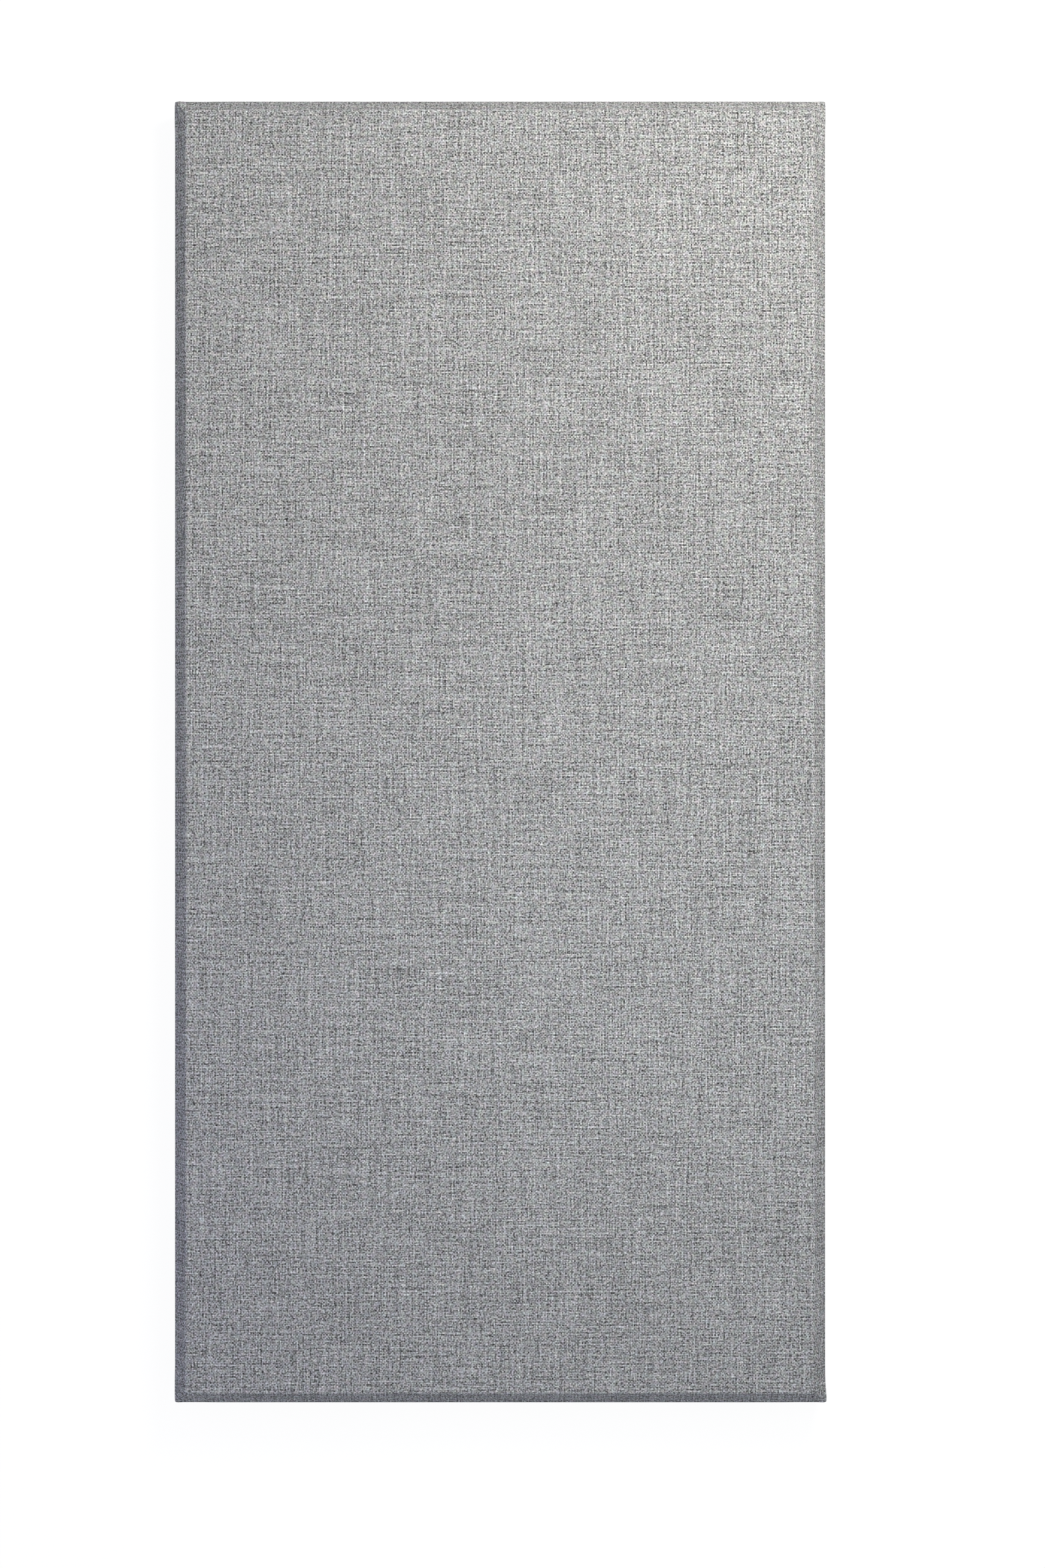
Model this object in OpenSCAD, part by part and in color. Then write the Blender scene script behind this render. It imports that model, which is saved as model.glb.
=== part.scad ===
// Fabric-wrapped acoustic wall panel, lying on its back with its face up.
// A bevelled board of rigid glass wool has a glass tissue glued to its back.
// One woven cloth goes over the face, the bevels and the sides, and is glued down
// on the back as a border. Its surplus is tucked flat against the short sides.

/* [Panel] */
// Width over the cloth
panel_w = 609.6; // [300:0.1:900]
// Length over the cloth, without the corner tucks
panel_l = 1219.2; // [400:0.1:1800]
// Thickness over the cloth
panel_t = 50.8; // [25:0.1:110]
// Width and depth of the 45 degree bevel round the face
bevel = 12.7; // [6:0.1:18]

/* [Cloth] */
// Thickness of the woven cloth with its glue
cloth_t = 1.0; // [0.6:0.1:1.8]
// Outer radius of the cloth where it turns over an edge of the board
fold_r = 2.4; // [2:0.1:4]
// Outer radius of the four upright corners, seen from the front
corner_r = 2.2; // [1.4:0.1:6]
// Width of the border of cloth that is glued down on the back
return_w = 50; // [25:1:90]

/* [Corner tucks] */
// Width of a tuck at the back edge
tuck_w = 30; // [15:1:50]
// Width of a tuck under the bevel
tuck_top_w = 7; // [5:0.5:14]
// How far a tuck stands out from the side that it lies on
tuck_t = 0.8; // [0.4:0.1:1.5]
// Gap between the top of a tuck and the lower edge of the bevel
tuck_gap = 2; // [1.5:0.1:5]

/* [Mitre folds] */
// Width of the crease where two borders meet at a corner of the back
crease_w = 1.2; // [0.6:0.1:2]
// Depth of that crease
crease_d = 0.5; // [0.2:0.1:0.5]
// Length at each end of the crease that the glue has closed
crease_stop = 6; // [5:0.5:12]

/* [Back tissue] */
// Thickness of the glass tissue on the back of the board
tissue_t = 0.6; // [0.3:0.1:1.2]

/* [Hidden] */
// Straight lengths that stand for the arc of one fold
FOLD_STEPS = 4;
// Overshoot of a cut past the face that it opens
PAST = 1;
// An inset of a 45 degree bevel by t makes it narrower by this share of t
BEVEL_INSET = 2 - sqrt(2);
fill_w = panel_w - 2 * cloth_t;
fill_l = panel_l - 2 * cloth_t;
fill_t = panel_t - 2 * cloth_t;
fill_bevel = bevel - BEVEL_INSET * cloth_t;

function unit(v) = v / norm(v);

// The arc that rounds corner p of an outline between its neighbours a and b
function rounded(a, p, b, r) =
    let (
        u = unit(a - p),
        v = unit(b - p),
        half = acos(u * v) / 2,
        centre = p + unit(u + v) * r / sin(half),
        from = p + u * r / tan(half) - centre,
        to = p + v * r / tan(half) - centre,
        start = atan2(from[1], from[0]),
        swing = atan2(to[1], to[0]) - start,
        turn = swing > 180 ? swing - 360 : swing < -180 ? swing + 360 : swing
    )
    [for (i = [0:FOLD_STEPS])
        centre + r * [cos(start + turn * i / FOLD_STEPS), sin(start + turn * i / FOLD_STEPS)]];

// Section of a bevelled slab, w wide and t thick, standing on its back
function slab_section(w, t, b, r) =
    let (
        corners = [[-w / 2, 0], [w / 2, 0], [w / 2, t - b], [w / 2 - b, t], [b - w / 2, t], [-w / 2, t - b]],
        count = len(corners)
    )
    [for (i = [0:count - 1])
        each rounded(corners[(i + count - 1) % count], corners[i], corners[(i + 1) % count], r)];

// Front view of the slab, with its four corners rounded
module plan(w, l, r) {
    for (x = [-1, 1], y = [-1, 1])
        translate([x * (w / 2 - r), y * (l / 2 - r)]) circle(r, $fn = 48);
    square([w - 2 * r, l], center = true);
    square([w, l - 2 * r], center = true);
}

// Bevelled slab with every fold rounded, from z = 0 up
module slab(w, l, t, b, fold, corner) {
    intersection() {
        rotate([90, 0, 0])
            linear_extrude(l + 2 * PAST, center = true) polygon(slab_section(w, t, b, fold));
        rotate([90, 0, 90])
            linear_extrude(w + 2 * PAST, center = true) polygon(slab_section(l, t, b, fold));
        linear_extrude(t) plan(w, l, corner);
    }
}

// All that the cloth wraps: the board with its tissue
module filling() {
    translate([0, 0, cloth_t])
        slab(fill_w, fill_l, fill_t, fill_bevel, fold_r - cloth_t, corner_r - cloth_t);
}

module tissue_layer() {
    translate([0, 0, cloth_t + tissue_t / 2])
        cube([panel_w + PAST, panel_l + PAST, tissue_t], center = true);
}

// Opening that the glued border leaves in the back of the cloth
module back_window() {
    linear_extrude(2 * cloth_t + 2 * PAST, center = true)
        square([panel_w - 2 * return_w, panel_l - 2 * return_w], center = true);
}

// Surplus cloth of one corner, wrapped round it and laid flat on the short side
module corner_tuck() {
    centre_x = panel_w / 2 - corner_r;
    tuck_h = panel_t - bevel - tuck_gap;
    intersection() {
        translate([0, tuck_t, fold_r])
            linear_extrude(tuck_h - fold_r) {
                translate([centre_x, panel_l / 2 - corner_r]) circle(corner_r, $fn = 48);
                translate([centre_x - tuck_w, panel_l / 2 - corner_r]) square([tuck_w, corner_r]);
            }
        translate([0, panel_l / 2 + 2 * tuck_t, 0]) rotate([90, 0, 0])
            linear_extrude(2 * (corner_r + tuck_t))
                polygon([
                    [panel_w / 2, 0],
                    [panel_w / 2, tuck_h],
                    [centre_x - tuck_top_w, tuck_h],
                    [centre_x - tuck_w, 0]
                ]);
    }
}

// Crease along the mitre of the border, at one corner of the back
module mitre_crease() {
    translate([panel_w / 2, panel_l / 2, 0])
        rotate([0, 0, 225])
            translate([crease_stop, 0, 0])
                rotate([90, 0, 90])
                    linear_extrude(return_w * sqrt(2) - 2 * crease_stop)
                        polygon([[-crease_w / 2, 0], [crease_w / 2, 0], [0, crease_d]]);
}

module at_corners() {
    for (x = [0, 1], y = [0, 1]) mirror([x, 0, 0]) mirror([0, y, 0]) children();
}

module core_board() {
    color("#cdb45f") difference() {
        filling();
        tissue_layer();
    }
}

module back_tissue() {
    color("#d8d8d2") intersection() {
        filling();
        tissue_layer();
    }
}

module fabric_cover() {
    color("#a2a3a5") difference() {
        union() {
            slab(panel_w, panel_l, panel_t, bevel, fold_r, corner_r);
            at_corners() corner_tuck();
        }
        filling();
        back_window();
        at_corners() mitre_crease();
    }
}

core_board();
back_tissue();
fabric_cover();
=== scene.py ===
"""Fabric-wrapped acoustic wall panel, lying on its back with its face up.

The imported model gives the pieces, their sizes and their places, in metres. This script
dresses them: the cover is modelled as the one cloth that it is, and the board and the
tissue keep their solids and get the finish of glass wool and of glass tissue.
"""

import math

import bmesh
import bpy
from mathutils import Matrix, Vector


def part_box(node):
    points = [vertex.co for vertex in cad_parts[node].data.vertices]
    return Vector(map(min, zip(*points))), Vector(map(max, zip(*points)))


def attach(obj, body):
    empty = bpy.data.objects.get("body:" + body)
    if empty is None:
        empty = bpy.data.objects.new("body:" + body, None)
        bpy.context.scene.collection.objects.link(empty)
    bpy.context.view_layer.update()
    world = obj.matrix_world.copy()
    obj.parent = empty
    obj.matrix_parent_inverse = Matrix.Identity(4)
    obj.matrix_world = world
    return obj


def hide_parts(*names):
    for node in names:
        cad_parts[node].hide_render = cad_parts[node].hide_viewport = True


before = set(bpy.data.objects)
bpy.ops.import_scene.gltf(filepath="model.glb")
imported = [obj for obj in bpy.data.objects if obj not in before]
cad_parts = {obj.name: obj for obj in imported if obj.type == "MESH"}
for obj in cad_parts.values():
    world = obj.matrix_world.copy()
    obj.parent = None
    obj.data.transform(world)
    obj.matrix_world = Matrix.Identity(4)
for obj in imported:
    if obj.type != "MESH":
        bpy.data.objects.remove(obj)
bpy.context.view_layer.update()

# Fabric cover, shape
# One plain-woven polyester cloth, pulled over the face, the 45 degree bevels and the sides
# of the board, and glued down on the back as a border with mitred corners.
CLOTH = 0.001
BEVEL = 0.0127
BORDER = 0.050
# How far a fold reaches to each side of its sharp edge: round the face and the shoulder, at
# the bevels' hips, down the upright corners and round the back
FOLD_OFFSET = 0.0012
HIP_OFFSET = 0.0024
UPRIGHT_OFFSET = 0.0012
BACK_OFFSET = 0.0024
FOLD_SEGMENTS = 4
NEAR = 0.00005

board_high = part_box("core_board")[1]
half_w = board_high.x + CLOTH
half_l = board_high.y + CLOTH
top = board_high.z + CLOTH
face_w = half_w - BEVEL
face_l = half_l - BEVEL
shoulder = top - BEVEL


def pick(kind, test):
    """In edit mode, selects the edges or faces whose middle passes the test, and no others."""
    bpy.ops.mesh.select_mode(type=kind)
    bpy.ops.mesh.select_all(action="DESELECT")
    mesh = bmesh.from_edit_mesh(bpy.context.object.data)
    for part in mesh.edges if kind == "EDGE" else mesh.faces:
        middle = sum((v.co for v in part.verts), Vector()) / len(part.verts)
        part.select_set(test(middle))
    mesh.select_flush_mode()
    bmesh.update_edit_mesh(bpy.context.object.data)


def fold_offset(a, b):
    """How far the cloth's fold reaches to each side of the sharp edge from a to b."""
    low, high = min(a.z, b.z), max(a.z, b.z)
    at_side = abs(abs(a.x + b.x) / 2 - half_w) < NEAR
    at_end = abs(abs(a.y + b.y) / 2 - half_l) < NEAR
    if high - low > NEAR:
        return UPRIGHT_OFFSET if high < shoulder + NEAR else HIP_OFFSET
    if low > shoulder - NEAR:
        return FOLD_OFFSET
    return BACK_OFFSET if high < NEAR and (at_side or at_end) else 0


bpy.ops.object.select_all(action="DESELECT")
bpy.ops.mesh.primitive_cube_add(
    size=1, location=(0, 0, top / 2), scale=(2 * half_w, 2 * half_l, top)
)
bpy.ops.object.transform_apply(location=True, rotation=True, scale=True)
cover = bpy.context.object
cover.name = "woven_cover"
bpy.ops.object.mode_set(mode="EDIT")
pick("EDGE", lambda middle: middle.z > top - NEAR)
bpy.ops.mesh.bevel(offset=BEVEL, segments=1, affect="EDGES")
pick("FACE", lambda middle: middle.z < NEAR)
bpy.ops.mesh.inset(thickness=BORDER)
bpy.ops.mesh.delete(type="FACE")
mesh = bmesh.from_edit_mesh(cover.data)
weight = mesh.edges.layers.float.new("bevel_weight_edge")
for edge in mesh.edges:
    edge[weight] = fold_offset(*(v.co for v in edge.verts)) / BACK_OFFSET
bmesh.update_edit_mesh(cover.data)
bpy.ops.object.mode_set(mode="OBJECT")

folds = cover.modifiers.new("folds", "BEVEL")
folds.limit_method = "WEIGHT"
folds.width = BACK_OFFSET
folds.segments = FOLD_SEGMENTS
folds.use_clamp_overlap = False
bpy.ops.object.modifier_apply(modifier="folds")

# Fabric cover, tucks and pulls
# The surplus cloth of each corner is folded flat on the short side. It pulls the cloth into
# a fan round the corner, and bunches up at the upper left. At the lower right the edge of
# the folded flap shows as a ridge and pushes the corner out.
# Tucks on the short sides, wider at the back than under the bevel
TUCK_HIGH = 0.0361
TUCK_BACK = 0.034
TUCK_FRONT = 0.011
TUCK_OUT = 0.0008
TUCK_STEP = 0.0006
# Creases along the mitres of the back
CREASE_WIDE = 0.0012
CREASE_DEEP = 0.0005
# Lines across the cloth, wide apart in the middle and close together near each edge
WIDE_PITCH = 0.030
FINE_PITCH = 0.0013
FINE_REACH = 0.040
FINE_STOP = 0.0045
SIDE_ROWS = 12
BEVEL_ROWS = 10
# The cloth's swell over the bevels, and the fan of pulls round each shoulder corner
BULGE = 0.0002
PULLS = 9
PULL_DEEP = 0.00035
PULL_START = 0.006
PULL_FULL = 0.012
# Gathered cloth at the upper left corner
GATHER_HIGH = 0.0030
GATHER_LONG = 0.020
GATHER_FULL = 0.002
GATHER_EDGE = 0.0030
# Edge of the flap at the lower right corner, and how far it pushes the corner out
FLAP_IN = 0.0038
FLAP_WIDE = 0.0014
FLAP_LONG = 0.030
FLAP_HIGH = 0.0006
FLAP_FADE = 0.3
FLARE = 0.0012


def cut(place, normal):
    """In edit mode, cuts the selected faces along a plane."""
    bpy.ops.mesh.bisect(plane_co=place, plane_no=normal, use_fill=False)


def places(half):
    """Where the lines go from the middle to one edge: wide apart, then close together."""
    start = half - FINE_REACH
    count = int(start / WIDE_PITCH)
    fine_count = int((FINE_REACH - FINE_STOP) / FINE_PITCH)
    wide = [start * i / count for i in range(count + 1)]
    return wide + [start + FINE_PITCH * i for i in range(1, fine_count + 1)]


# The lines give the cloth points to move, and the tucks and mitres get lines of their own.
bpy.ops.object.mode_set(mode="EDIT")
bpy.ops.mesh.select_mode(type="FACE")
for sign in (-1, 1):
    for x in places(half_w):
        bpy.ops.mesh.select_all(action="SELECT")
        cut((sign * x, 0, 0), (1, 0, 0))
    for y in places(half_l):
        bpy.ops.mesh.select_all(action="SELECT")
        cut((0, sign * y, 0), (0, 1, 0))
for i in range(1, SIDE_ROWS):
    bpy.ops.mesh.select_all(action="SELECT")
    cut((0, 0, BACK_OFFSET + (shoulder - FOLD_OFFSET - BACK_OFFSET) * i / SIDE_ROWS), (0, 0, 1))
for i in range(1, BEVEL_ROWS):
    bpy.ops.mesh.select_all(action="SELECT")
    cut((0, 0, shoulder + BEVEL * i / BEVEL_ROWS), (0, 0, 1))
for x in (-1, 1):
    for y in (-1, 1):
        for shift in (0, TUCK_STEP):
            pick("FACE", lambda m: m.x * x > half_w - 2 * TUCK_BACK
                 and m.y * y > half_l - UPRIGHT_OFFSET and m.z < shoulder)
            edge = x * (half_w - TUCK_BACK + shift)
            cut((edge, 0, 0), (x * TUCK_HIGH, 0, TUCK_FRONT - TUCK_BACK))
        for shift in (-1, 0, 1):
            pick("FACE", lambda m: m.x * x > half_w - BORDER
                 and m.y * y > half_l - BORDER and m.z < CLOTH)
            cut((x * half_w, y * (half_l - shift * CREASE_WIDE / math.sqrt(2)), 0), (x, -y, 0))
bpy.ops.object.mode_set(mode="OBJECT")


def ease(value, low, high):
    """Goes smoothly from 0 to 1 as a value goes from low to high."""
    t = min(max((value - low) / (high - low), 0), 1)
    return t * t * (3 - 2 * t)


def tuck_edge(z):
    """How far from the panel's middle a tuck's folded edge lies at a height."""
    return half_w - TUCK_BACK + (TUCK_BACK - TUCK_FRONT) * z / TUCK_HIGH


for point in cover.data.vertices:
    place = point.co.copy()
    x_sign, y_sign = math.copysign(1, place.x), math.copysign(1, place.y)
    x, y, z = abs(place.x), abs(place.y), place.z
    tucked = ease(x, tuck_edge(z), tuck_edge(z) + TUCK_STEP) * ease(TUCK_HIGH - z, 0, TUCK_STEP)
    tucked *= ease(y, half_l - 2 * UPRIGHT_OFFSET, half_l - UPRIGHT_OFFSET)
    point.co.y += y_sign * TUCK_OUT * tucked
    if z < CLOTH:
        from_mitre = abs((half_w - x) - (half_l - y)) / math.sqrt(2)
        point.co.z += CREASE_DEEP * max(0, 1 - from_mitre / (CREASE_WIDE / 2))
    if z < shoulder - FOLD_OFFSET:
        continue
    outward = Vector((x_sign * ease(x, face_w, half_w), y_sign * ease(y, face_l, half_l), 1))
    outward.normalize()
    over = min(max((max(x - face_w, y - face_l) + top - z) / (2 * BEVEL), 0), 1)
    point.co += outward * BULGE * 4 * over * (1 - over)
    if place.x < 0 < place.y:
        near = 1 - ease(half_l - y, GATHER_FULL, GATHER_LONG)
        rising = max((x - face_w) / (BEVEL - GATHER_EDGE), 0)
        full = min(rising, max((half_w - x) / GATHER_EDGE, 0))
        point.co.z += GATHER_HIGH * near * full * ease(half_l - y, 0, GATHER_EDGE)
    reach = math.hypot(half_w - x, half_l - y, z - shoulder)
    if reach < FINE_REACH:
        turn = math.atan2(half_w - x, half_l - y)
        swell = math.cos(2 * PULLS * turn) * ease(reach, 0, PULL_START)
        swell *= 1 - ease(reach, PULL_FULL, FINE_REACH)
        point.co += outward * PULL_DEEP * swell
    if place.x > 0 > place.y:
        near = 1 - ease(half_l - y, 0, FLAP_LONG)
        point.co.x += FLARE * near * near * ease(x, face_w, half_w)
        ridge = max(0, 1 - abs(half_w - FLAP_IN - x) / FLAP_WIDE)
        ridge *= ease(z, shoulder, shoulder + CLOTH) * ease(near, 0, FLAP_FADE)
        point.co += Vector((1, 0, 1)).normalized() * FLAP_HIGH * ridge


# Fabric cover, threads on the surface
# The cloth's own flat measure: the face is laid out as it is, and each strip is unrolled
# from it over the bevel, the side and the back, so that the threads turn with every fold.
# A tuck goes on from the long side round the corner, so its threads break off at its edge.
CLOTH_DRAWN = 0.95 * CLOTH
SMOOTH_ANGLE = 30


def unrolled(across, half, half_face, z):
    """Distance from the middle of the face, along the cloth, of a point of a strip."""
    drop = top - z
    run = abs(across) - half_face + drop if drop < BEVEL else 2 * BEVEL
    if run < 0:
        return across
    length = half_face + min(run / 2, BEVEL) * math.sqrt(2) + max(0, drop - BEVEL)
    if z < BACK_OFFSET:
        length += max(0, half - abs(across))
    return math.copysign(length, across)


threads = cover.data.uv_layers.new(name="cloth")
for polygon in cover.data.polygons:
    middle = polygon.center
    on_side = half_w - abs(middle.x) < half_l - abs(middle.y)
    on_tuck = half_l - abs(middle.y) < BACK_OFFSET and abs(middle.x) > tuck_edge(middle.z)
    on_tuck = on_tuck and NEAR < middle.z < TUCK_HIGH
    for corner in polygon.loop_indices:
        place = cover.data.vertices[cover.data.loops[corner].vertex_index].co
        u, v = place.x, place.y
        if on_side:
            u = unrolled(place.x, half_w, face_w, place.z)
        elif on_tuck:
            across = math.copysign(half_w - half_l + abs(place.y), place.x)
            u = unrolled(across, half_w, face_w, place.z)
            v = math.copysign(half_l + half_w - abs(place.x), place.y)
        else:
            v = unrolled(place.y, half_l, face_l, place.z)
        threads.data[corner].uv = (u, v)

# The cloth is drawn a little thinner than it is, so that it stays clear of the board.
thick = cover.modifiers.new("thick", "SOLIDIFY")
thick.thickness = CLOTH_DRAWN
thick.offset = -1
bpy.ops.object.modifier_apply(modifier="thick")
bpy.ops.object.shade_smooth_by_angle(angle=math.radians(SMOOTH_ANGLE))

# Fabric cover, finish
# Plain weave of grey melange polyester yarn. Light and dark fibres are spun together, so
# that each thread changes its tone along its length. Matt, with a soft nap.
WARP_PITCH = 0.00139
WEFT_PITCH = 0.00150
# How far a shade runs along a yarn, its share of the tone, and how many plies it splits into
YARN_SHADES = (
    (0.0016, 0.340, 1),
    (0.0100, 0.150, 1),
    (0.0900, 0.118, 1),
    (0.0016, 0.330, 2),
    (0.0600, 0.190, 2),
)
# Where each set of yarns and each of its shades starts in the noise
WARP_SEED = 3.5
WEFT_SEED = 90.5
SHADE_STEP = 13
UNDER_SHARE = 0.55
DIP = 0.5
CROSSING_CONTRAST = 0.15
# How dark the painted shade is where the threads lie low, and their mean height
ROUND_PAINTED_SHADE = 0.255
MEAN_HEIGHT = 0.53
YARN_TONE = 0.496
TONE_CURVE = 1.1
TONE_LOWEST = 0.05
YARN_TINT = "#fffffe"
TINT_PATCH = 0.006
TINT_RANGE = 0.043
NOISE_LOW, NOISE_HIGH = 0.25, 0.75
WANDER_SCALE = 60
WANDER_FAR = 0.0008
THREAD_DEEP = 0.00025
# Width and strength of the painted highlight along the fold between the face and the bevels
ARRIS_WIDE = 0.0018
ARRIS_HIGHLIGHT = 0.073


def linear(code):
    """Linear colour of an sRGB hex code."""
    parts = [int(code[i : i + 2], 16) / 255 for i in (1, 3, 5)]
    return (*(c / 12.92 if c <= 0.04045 else ((c + 0.055) / 1.055) ** 2.4 for c in parts), 1)


def add(tree, kind, inputs=(), **settings):
    """Adds a node with its settings.

    Each input is a value, a socket, or a node for its first output.
    """
    node = tree.nodes.new(kind)
    for name, value in settings.items():
        setattr(node, name, value)
    for name, value in inputs.items() if isinstance(inputs, dict) else enumerate(inputs):
        value = value.outputs[0] if isinstance(value, bpy.types.Node) else value
        if isinstance(value, bpy.types.NodeSocket):
            tree.links.new(value, node.inputs[name])
        else:
            node.inputs[name].default_value = value
    return node


def material(name):
    """An empty node material with its Principled shader, already linked to the output."""
    made = bpy.data.materials.new(name)
    made.use_nodes = True
    made.node_tree.nodes.clear()
    shader = add(made.node_tree, "ShaderNodeBsdfPrincipled")
    add(made.node_tree, "ShaderNodeOutputMaterial", {"Surface": shader})
    return made, made.node_tree, shader


def yarn_tone(tree, place, along, seed):
    """Tone of one set of yarns, about -1 to 1, from the place across them and along them.

    Yarns lie at half numbers of a smooth noise, so that neighbours differ the most.
    """
    tone = 0
    for i, (length, share, plies) in enumerate(YARN_SHADES):
        ply = add(tree, "ShaderNodeMath", [place, plies], operation="MULTIPLY")
        number = add(tree, "ShaderNodeMath", [ply], operation="FLOOR")
        across = add(tree, "ShaderNodeMath", [number, seed + SHADE_STEP * i], operation="ADD")
        down = add(tree, "ShaderNodeMath", [along, length], operation="DIVIDE")
        spot = add(tree, "ShaderNodeCombineXYZ", [across, down])
        noise = add(tree, "ShaderNodeTexNoise", {"Vector": spot, "Scale": 1, "Detail": 0},
                    noise_dimensions="2D")
        rest = add(tree, "ShaderNodeMath", [tone, share], operation="SUBTRACT")
        tone = add(tree, "ShaderNodeMath", [noise, 2 * share, rest], operation="MULTIPLY_ADD")
    return tone


woven, tree, shader = material("plain_woven_melange_polyester")
laid = add(tree, "ShaderNodeUVMap", uv_map="cloth")
wander = add(tree, "ShaderNodeTexNoise", {"Vector": laid, "Scale": WANDER_SCALE, "Detail": 1},
             noise_dimensions="2D")
spot = add(tree, "ShaderNodeVectorMath", [
    wander.outputs["Color"], (WANDER_FAR, WANDER_FAR, 0), laid,
], operation="MULTIPLY_ADD")
axes = add(tree, "ShaderNodeSeparateXYZ", [spot])
warp_place = add(tree, "ShaderNodeMath", [axes.outputs[0], WARP_PITCH], operation="DIVIDE")
weft_place = add(tree, "ShaderNodeMath", [axes.outputs[1], WEFT_PITCH], operation="DIVIDE")
warp_number = add(tree, "ShaderNodeMath", [warp_place], operation="FLOOR")
weft_number = add(tree, "ShaderNodeMath", [weft_place], operation="FLOOR")
crossing = add(tree, "ShaderNodeMath", [warp_number, weft_number], operation="ADD")
warp_over = add(tree, "ShaderNodeMath", [crossing, 2], operation="FLOORED_MODULO")

# Each thread is round: high along its middle, low between its neighbours, and lower where
# it dips under the thread that crosses it.
warp_turn = add(tree, "ShaderNodeMath", [warp_place, math.pi], operation="MULTIPLY")
weft_turn = add(tree, "ShaderNodeMath", [weft_place, math.pi], operation="MULTIPLY")
warp_wave = add(tree, "ShaderNodeMath", [warp_turn], operation="SINE")
weft_wave = add(tree, "ShaderNodeMath", [weft_turn], operation="SINE")
warp_round = add(tree, "ShaderNodeMath", [warp_wave], operation="ABSOLUTE")
weft_round = add(tree, "ShaderNodeMath", [weft_wave], operation="ABSOLUTE")
warp_dip = add(tree, "ShaderNodeMath", [weft_round, DIP, 1 - DIP], operation="MULTIPLY_ADD")
weft_dip = add(tree, "ShaderNodeMath", [warp_round, DIP, 1 - DIP], operation="MULTIPLY_ADD")
warp_high = add(tree, "ShaderNodeMath", [warp_round, warp_dip], operation="MULTIPLY")
weft_high = add(tree, "ShaderNodeMath", [weft_round, weft_dip], operation="MULTIPLY")
height = add(tree, "ShaderNodeMix", {0: warp_over, 2: weft_high, 3: warp_high})

# The thread on top gives most of the tone, and the one under it shows between its fibres.
warp = yarn_tone(tree, warp_place, axes.outputs[1], WARP_SEED)
weft = yarn_tone(tree, weft_place, axes.outputs[0], WEFT_SEED)
warp_share = add(tree, "ShaderNodeMath", [warp_over, 1 - UNDER_SHARE, UNDER_SHARE],
                 operation="MULTIPLY_ADD")
weft_share = add(tree, "ShaderNodeMath", [1 + UNDER_SHARE, warp_share], operation="SUBTRACT")
tone = add(tree, "ShaderNodeMath", [
    warp_over, CROSSING_CONTRAST, YARN_TONE - CROSSING_CONTRAST / 2,
], operation="MULTIPLY_ADD")
tone = add(tree, "ShaderNodeMath", [warp, warp_share, tone], operation="MULTIPLY_ADD")
tone = add(tree, "ShaderNodeMath", [weft, weft_share, tone], operation="MULTIPLY_ADD")
# Painted shade: the tone is darker where the threads lie low, between neighbours and where they
# dip.
tone = add(tree, "ShaderNodeMath", [tone, ROUND_PAINTED_SHADE * MEAN_HEIGHT], operation="SUBTRACT")
tone = add(tree, "ShaderNodeMath", [height, ROUND_PAINTED_SHADE, tone], operation="MULTIPLY_ADD")

# A painted highlight: the cloth is drawn lighter along the fold between the face and the
# bevels.
reach = add(tree, "ShaderNodeVectorMath", [laid], operation="ABSOLUTE")
reach = add(tree, "ShaderNodeVectorMath", [reach, (face_w, face_l, 0)], operation="SUBTRACT")
reach = add(tree, "ShaderNodeSeparateXYZ", [reach])
past = add(tree, "ShaderNodeMath", [reach.outputs[0], reach.outputs[1]], operation="MAXIMUM")
past = add(tree, "ShaderNodeMath", [past], operation="ABSOLUTE")
arris_highlight = add(tree, "ShaderNodeMapRange", {0: past, 1: 0, 2: ARRIS_WIDE, 3: ARRIS_HIGHLIGHT, 4: 0})
tone = add(tree, "ShaderNodeMath", [tone, arris_highlight], operation="ADD")
tone = add(tree, "ShaderNodeMath", [tone, TONE_LOWEST], operation="MAXIMUM")
light = add(tree, "ShaderNodeMath", [tone, TONE_CURVE], operation="POWER")
fibres = add(tree, "ShaderNodeTexNoise", {"Vector": laid, "Scale": 1 / TINT_PATCH, "Detail": 1},
             noise_dimensions="2D")
tint = add(tree, "ShaderNodeMapRange", {
    "Vector": fibres.outputs["Color"],
    7: [NOISE_LOW] * 3,
    8: [NOISE_HIGH] * 3,
    9: [c * (1 - TINT_RANGE) for c in linear(YARN_TINT)[:3]],
    10: [c * (1 + TINT_RANGE) for c in linear(YARN_TINT)[:3]],
}, data_type="FLOAT_VECTOR")
colour = add(tree, "ShaderNodeVectorMath", {0: tint.outputs["Vector"], "Scale": light},
             operation="SCALE")
tree.links.new(colour.outputs[0], shader.inputs["Base Color"])
bump = add(tree, "ShaderNodeBump", {"Height": height, "Distance": THREAD_DEEP, "Strength": 1})
tree.links.new(bump.outputs[0], shader.inputs["Normal"])
shader.inputs["Roughness"].default_value = 0.9
shader.inputs["Specular IOR Level"].default_value = 0.2
shader.inputs["Sheen Weight"].default_value = 0.05
shader.inputs["Sheen Roughness"].default_value = 0.5
cover.data.materials.clear()
cover.data.materials.append(woven)

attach(cover, "root")
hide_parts("fabric_cover")

# Board
# Rigid slab of resin-bonded glass wool, cut with a bevel and hidden inside the cover. Its
# fibres lie in flat layers, golden where the resin has gathered. They are drawn coarser
# than real ones, which are too fine to show.
LAYER_LONG = 0.030
LAYER_THICK = 0.0015
FIBRE_FINE = 0.0006
FIBRE_DEEP = 0.0004
FLUFF_SHARE = 0.4
RESIN_LOW, RESIN_HIGH = 0.45, 0.95
WOOL_DARK, WOOL_LIGHT = "#b5984a", "#dcc77c"

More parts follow.
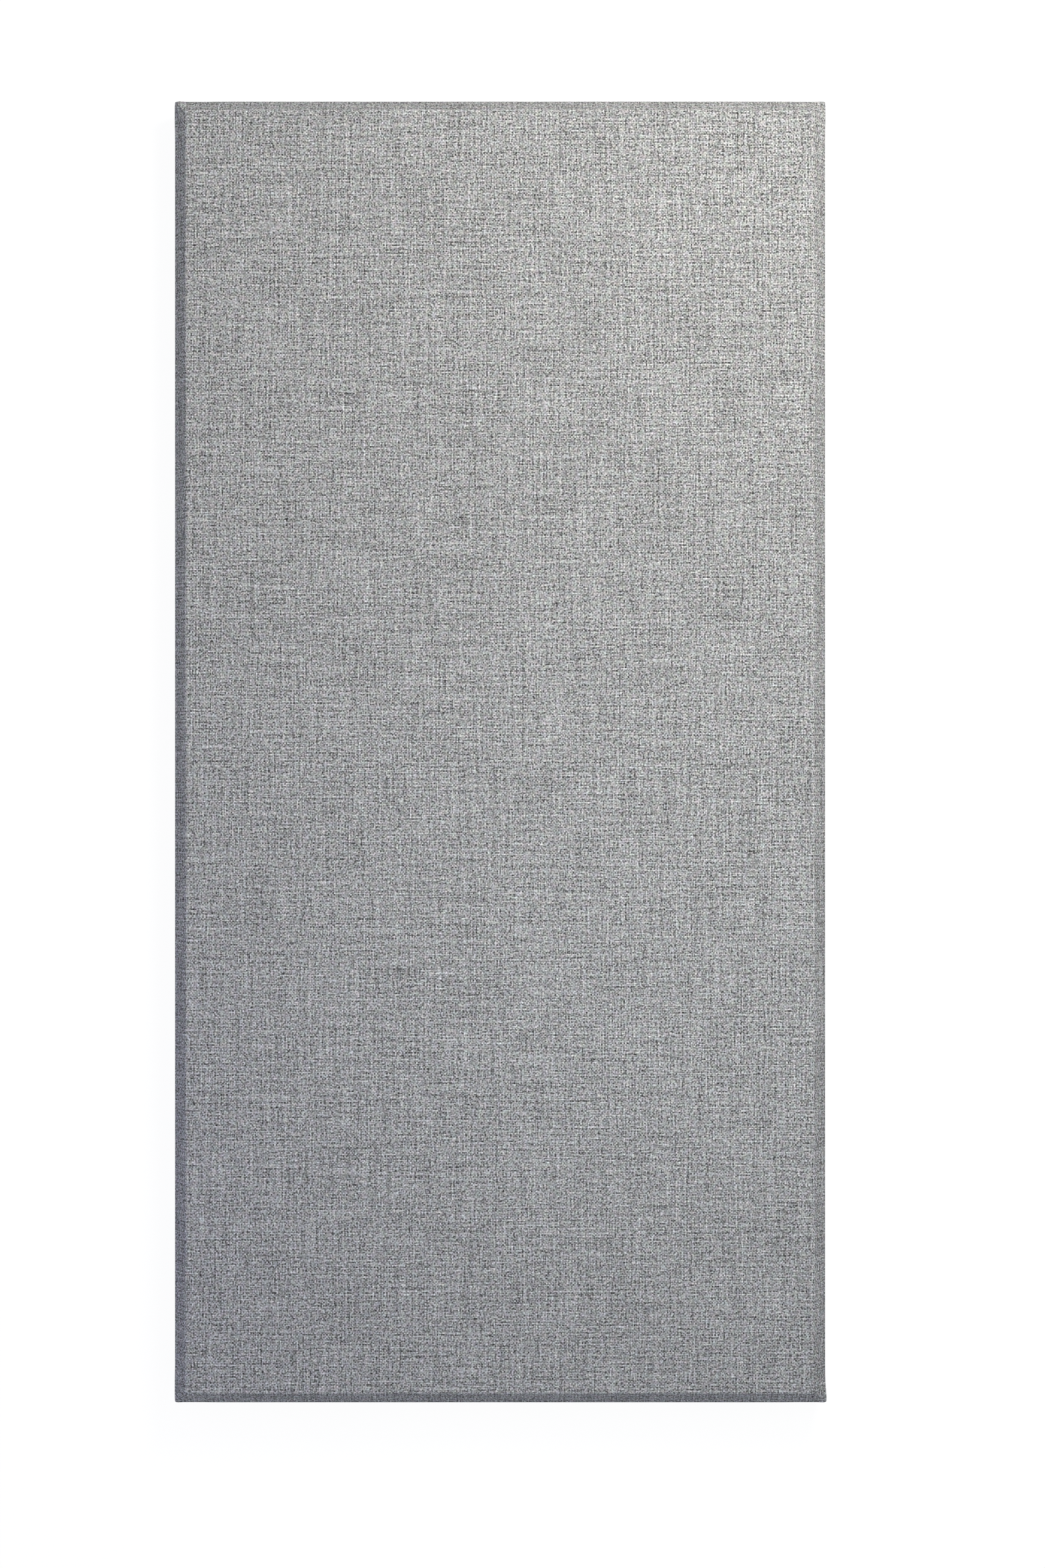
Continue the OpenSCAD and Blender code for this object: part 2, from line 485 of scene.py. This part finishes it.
wool, tree, shader = material("resin_bonded_glass_wool")
place = add(tree, "ShaderNodeTexCoord").outputs["Object"]
layers = add(tree, "ShaderNodeMapping", {
    "Vector": place, "Scale": (1 / LAYER_LONG, 1 / LAYER_LONG, 1 / LAYER_THICK),
})
resin = add(tree, "ShaderNodeTexNoise", {
    "Vector": layers, "Scale": 1, "Detail": 5, "Roughness": 0.7,
})
fluff = add(tree, "ShaderNodeTexNoise", {"Vector": place, "Scale": 1 / FIBRE_FINE, "Detail": 2})
mottle = add(tree, "ShaderNodeMath", [fluff, FLUFF_SHARE, resin], operation="MULTIPLY_ADD")
shade = add(tree, "ShaderNodeMapRange", {0: mottle, 1: RESIN_LOW, 2: RESIN_HIGH})
colour = add(tree, "ShaderNodeMix", {0: shade, 6: linear(WOOL_DARK), 7: linear(WOOL_LIGHT)},
             data_type="RGBA")
tree.links.new(colour.outputs[2], shader.inputs["Base Color"])
bump = add(tree, "ShaderNodeBump", {"Height": mottle, "Distance": FIBRE_DEEP, "Strength": 1})
tree.links.new(bump.outputs[0], shader.inputs["Normal"])
shader.inputs["Roughness"].default_value = 1
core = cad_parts["core_board"]
core.data.materials.clear()
core.data.materials.append(wool)

# Back tissue
# Non-woven glass tissue, wet-laid from chopped strands and glued to the back of the board.
# The strands are drawn wider than real ones, which are too fine to show.
STRAND_LONG = 0.016
STRAND_WIDE = 0.00045
STRAND_TURNS = (0.2, 1.0, 1.7, 2.6)
STRAND_DEEP = 0.00008
CLOUD_SCALE = 60
CLOUD_SHARE = 0.5
DENSE_LOW, DENSE_HIGH = 0.75, 1.05
TISSUE_DARK, TISSUE_LIGHT = "#c4c2b6", "#e8e8e2"

tissue, tree, shader = material("non_woven_glass_tissue")
place = add(tree, "ShaderNodeTexCoord").outputs["Object"]
strands = 0
for turn in STRAND_TURNS:
    spot = add(tree, "ShaderNodeVectorRotate", {"Vector": place, "Angle": turn},
               rotation_type="Z_AXIS")
    spot = add(tree, "ShaderNodeVectorMath", [spot, (1 / STRAND_LONG, 1 / STRAND_WIDE, 1)],
               operation="MULTIPLY")
    noise = add(tree, "ShaderNodeTexNoise", {"Vector": spot, "Scale": 1, "Detail": 1},
                noise_dimensions="2D")
    strands = add(tree, "ShaderNodeMath", [strands, noise], operation="MAXIMUM")
cloud = add(tree, "ShaderNodeTexNoise", {"Vector": place, "Scale": CLOUD_SCALE, "Detail": 4})
dense = add(tree, "ShaderNodeMath", [cloud, CLOUD_SHARE, strands], operation="MULTIPLY_ADD")
shade = add(tree, "ShaderNodeMapRange", {0: dense, 1: DENSE_LOW, 2: DENSE_HIGH})
colour = add(tree, "ShaderNodeMix", {0: shade, 6: linear(TISSUE_DARK), 7: linear(TISSUE_LIGHT)},
             data_type="RGBA")
tree.links.new(colour.outputs[2], shader.inputs["Base Color"])
bump = add(tree, "ShaderNodeBump", {"Height": dense, "Distance": STRAND_DEEP, "Strength": 1})
tree.links.new(bump.outputs[0], shader.inputs["Normal"])
shader.inputs["Roughness"].default_value = 0.85
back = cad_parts["back_tissue"]
back.data.materials.clear()
back.data.materials.append(tissue)

# Camera
# Straight above the panel, a little to the lower right of its middle.
CAMERA_PLACE = (0.021, -0.030, 1.850)
CAMERA_LENS = 44.4
CAMERA_SENSOR = 36

bpy.ops.object.camera_add(location=CAMERA_PLACE, rotation=(0, 0, 0))
camera = bpy.context.object
camera.data.lens = CAMERA_LENS
camera.data.sensor_width = CAMERA_SENSOR
camera.data.sensor_fit = "AUTO"
bpy.context.scene.camera = camera

# Floor and light
# A white floor under the panel, a warm key from the far right, a weak cool fill from the
# right, a trace of blue at the lower left and a low sky. The floor and the sky show as white.
FLOOR_SIZE = 40
FLOOR_DROP = 0.0004
PAPER = "#6c6c6c"
PAPER_GLOW = 0.93
SKY = "#edf1ff"
SKY_STRENGTH = 0.407
WHITE = "#ffffff"
LAMP_RADIUS = 0.25
# Place, watts and colour of each lamp
LAMPS = {
    "key": ((0.470, 0.759, 0.967), 31.8, "#fffcf1"),
    "fill": ((0.177, -0.208, 0.564), 2.7, "#f8fdfb"),
    "dusk": ((-0.620, -0.450, 0.400), 0.5, "#6a5cff"),
}


def seen(tree):
    """Node that is 1 for a ray that shows the background: direct, mirrored or through glass."""
    rays = add(tree, "ShaderNodeLightPath").outputs
    indirect = add(tree, "ShaderNodeMath", [rays["Is Glossy Ray"], rays["Is Transmission Ray"]],
                   operation="MAXIMUM")
    return add(tree, "ShaderNodeMath", [rays["Is Camera Ray"], indirect], operation="MAXIMUM")


bpy.ops.mesh.primitive_plane_add(size=FLOOR_SIZE, location=(0, 0, -FLOOR_DROP))
floor = bpy.context.object
floor.name = "studio_floor"
paper = bpy.data.materials.new("white_paper")
paper.use_nodes = True
tree = paper.node_tree
tree.nodes.clear()
matt = add(tree, "ShaderNodeBsdfDiffuse", {"Color": linear(PAPER)})
shown = add(tree, "ShaderNodeMath", [seen(tree), PAPER_GLOW], operation="MULTIPLY")
glow = add(tree, "ShaderNodeEmission", {"Color": linear(WHITE), "Strength": shown})
both = add(tree, "ShaderNodeAddShader", [matt, glow])
add(tree, "ShaderNodeOutputMaterial", {"Surface": both})
floor.data.materials.append(paper)

world = bpy.data.worlds.new("studio")
bpy.context.scene.world = world
world.use_nodes = True
tree = world.node_tree
tree.nodes.clear()
sky = add(tree, "ShaderNodeBackground", {"Color": linear(SKY), "Strength": SKY_STRENGTH})
white = add(tree, "ShaderNodeBackground", {"Color": linear(WHITE), "Strength": 1})
mixed = add(tree, "ShaderNodeMixShader", [seen(tree), sky, white])
add(tree, "ShaderNodeOutputWorld", {"Surface": mixed})

for name, (place, watts, colour) in LAMPS.items():
    bpy.ops.object.light_add(type="POINT", location=place)
    lamp = bpy.context.object
    lamp.name = name
    lamp.data.energy = watts
    lamp.data.color = linear(colour)[:3]
    lamp.data.shadow_soft_size = LAMP_RADIUS
    lamp.visible_camera = False

bpy.context.scene.view_settings.view_transform = "Standard"
